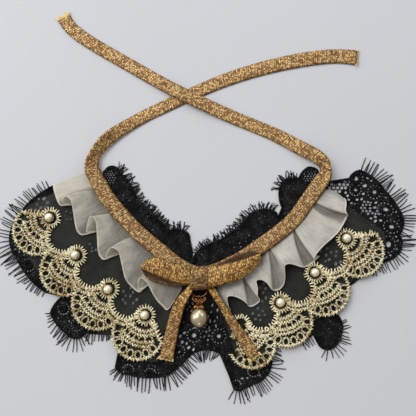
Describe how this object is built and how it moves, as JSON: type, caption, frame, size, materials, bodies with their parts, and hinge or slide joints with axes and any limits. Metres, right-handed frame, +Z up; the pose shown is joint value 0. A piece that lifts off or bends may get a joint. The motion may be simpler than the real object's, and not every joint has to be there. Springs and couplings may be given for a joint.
{
  "type": "pet scarf",
  "caption": "Lace bib collar for a small pet: gold lace scallops on dark organza, pleated ruffle, black eyelash lace, gold ribbon bow and ties, hanging pearl.",
  "frame": {"origin": "middle of the footprint, on the surface the scarf lies on", "axes": "+Z up out of the front of the scarf; +Y from the bib towards the ties; +X to the right when the front is looked at with the ties away"},
  "size_m": [0.2788, 0.2592, 0.0149],
  "materials": {
    "black_lace": "matt black eyelash lace",
    "black_fringe": "loose black lace threads",
    "organza": "sheer dark organza over the lace",
    "gold_lace": "thick satin-stitched gold lace",
    "chiffon": "sheer pale grey-beige chiffon",
    "gold_ribbon": "knitted ribbon with metallic gold thread",
    "gold_metal": "polished gold-coloured plating",
    "pearl": "pearl-coated bead"
  },
  "bodies": {
    "scarf": {"bow_knot": "gold_ribbon", "bow_loop_left": "gold_ribbon", "bow_loop_right": "gold_ribbon", "bow_tail_left": "gold_ribbon", "bow_tail_right": "gold_ribbon", "chiffon_ruffle_left": "chiffon", "chiffon_ruffle_right": "chiffon", "flounce_fringe_1": "black_fringe", "flounce_fringe_2": "black_fringe", "flounce_fringe_3": "black_fringe", "flounce_fringe_4": "black_fringe", "flounce_fringe_5": "black_fringe", "flounce_fringe_6": "black_fringe", "flounce_fringe_7": "black_fringe", "frill_fringe_left_1": "black_fringe", "frill_fringe_right_1": "black_fringe", "frill_fringe_right_2": "black_fringe", "gold_trim_left": "gold_lace", "gold_trim_right": "gold_lace", "lace_flounce": "black_lace", "neck_frill_left": "black_lace", "neck_frill_right": "black_lace", "neck_ribbon": "gold_ribbon", "organza_panel_left": "organza", "organza_panel_right": "organza", "pendant_ring": "gold_metal", "tie_left": "gold_ribbon", "tie_right": "gold_ribbon", "trim_pearl_left_1": "pearl", "trim_pearl_left_2": "pearl", "trim_pearl_left_3": "pearl", "trim_pearl_left_4": "pearl", "trim_pearl_right_1": "pearl", "trim_pearl_right_2": "pearl", "trim_pearl_right_3": "pearl"},
    "pendant": {"pendant_charm": "gold_metal", "pendant_cap": "gold_metal", "pendant_pearl": "pearl"}
  },
  "joints": [
    {"name": "pendant_swing", "type": "hinge", "parent": "scarf", "child": "pendant", "pos_m": [-0.00521, -0.06187, 0.00705], "axis": [-1, 0, 0], "range_deg": [0, 90]}
  ]
}
